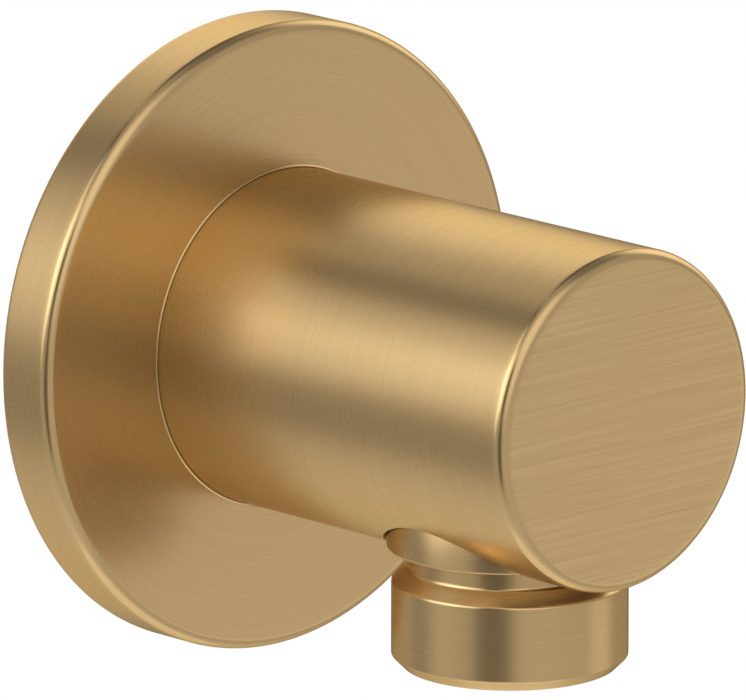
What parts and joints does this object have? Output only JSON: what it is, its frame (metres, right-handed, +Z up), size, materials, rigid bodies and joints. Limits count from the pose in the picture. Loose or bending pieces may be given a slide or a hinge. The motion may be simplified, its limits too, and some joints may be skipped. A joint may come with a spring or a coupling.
{
  "type": "wall outlet elbow",
  "caption": "Round shower wall outlet elbow in brushed gold: disc flange, straight cylindrical body with a closed front, and a downward hose outlet with a non-return valve inside.",
  "frame": {"origin": "middle of the flange's wall face, on the body's axis", "axes": "+Y into the wall along the body's axis, +Z up, outlet along -Z, +X to the right seen from the room"},
  "size_m": [0.0572, 0.0621, 0.0572],
  "materials": {
    "brushed_gold": "fine brushed, gold coated",
    "plain_brass": "turned",
    "stainless_steel": "drawn",
    "foam_rubber": "matte, closed cell",
    "black_rubber": "satin",
    "white_acetal": "moulded"
  },
  "bodies": {
    "elbow": {"elbow_body": "brushed_gold", "wall_flange": "brushed_gold", "grip_ring": "black_rubber", "wall_seal": "foam_rubber", "inlet_nipple": "plain_brass", "inlet_ring": "black_rubber", "grub_screw": "stainless_steel", "outlet_nipple": "brushed_gold", "outlet_washer": "black_rubber", "valve_cage": "white_acetal", "cage_ring": "black_rubber", "valve_spring": "stainless_steel"},
    "valve": {"valve_poppet": "white_acetal", "valve_seal": "black_rubber"}
  },
  "joints": [
    {"name": "valve_lift", "type": "slide", "parent": "elbow", "child": "valve", "axis": [0, 0, -1], "range_m": [0, 0.0025], "stiffness_N_per_m": 60, "springref_m": -0.004, "deforming": ["valve_spring"]}
  ]
}
